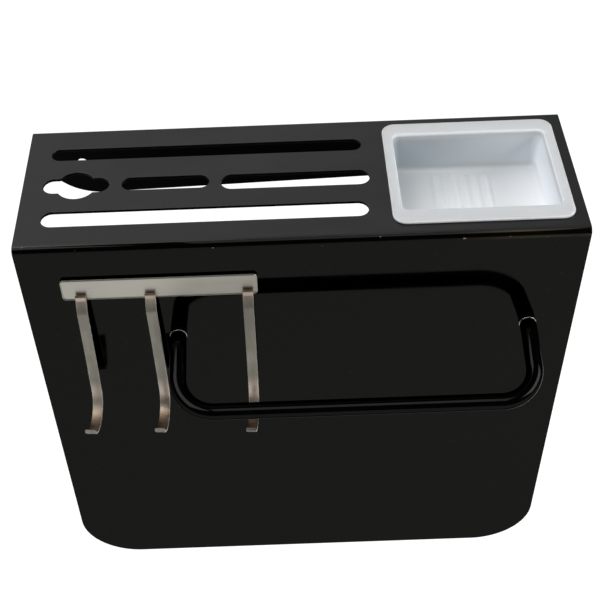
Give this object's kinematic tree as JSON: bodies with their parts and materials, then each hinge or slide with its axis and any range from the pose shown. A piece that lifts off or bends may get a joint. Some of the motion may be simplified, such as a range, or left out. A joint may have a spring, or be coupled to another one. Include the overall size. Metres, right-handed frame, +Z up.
{
  "type": "salon styling station",
  "caption": "Wall-hung styling station: bent steel sheet with tool slots and keyhole, lift-out tray, rail of flat-bar hooks and a bent-rod dryer loop.",
  "frame": {"origin": "the middle of the wall flange's back face, 20 mm below the plate's top, where the station sits on the wall", "axes": "+Z up, +Y into the wall, the front panel faces -Y, +X to the right as seen from the front"},
  "size_m": [0.3, 0.1505, 0.2904],
  "materials": {
    "black_coated_steel": "black coating, satin on top and glossy on the front",
    "frosted_plastic": "frosted translucent polypropylene",
    "brushed_stainless": "brushed",
    "foam_tape": "matt foam",
    "gloss_black_rod": "gloss",
    "zinc_plated_steel": "bright zinc plating"
  },
  "bodies": {
    "station": {"station_body": "black_coated_steel", "hook_rail": "brushed_stainless", "hook_rail_tape": "foam_tape", "hook_left": "brushed_stainless", "hook_middle": "brushed_stainless", "hook_right": "brushed_stainless", "holder_loop": "gloss_black_rod", "loop_collar_left": "zinc_plated_steel", "loop_collar_right": "zinc_plated_steel", "loop_washer_left": "zinc_plated_steel", "loop_washer_right": "zinc_plated_steel", "loop_screw_left": "zinc_plated_steel", "loop_screw_right": "zinc_plated_steel"},
    "tray": {"storage_tray": "frosted_plastic"}
  },
  "joints": [
    {"name": "tray_lift", "type": "slide", "parent": "station", "child": "tray", "axis": [0, 0, 1], "range_m": [0, 0.045]}
  ]
}
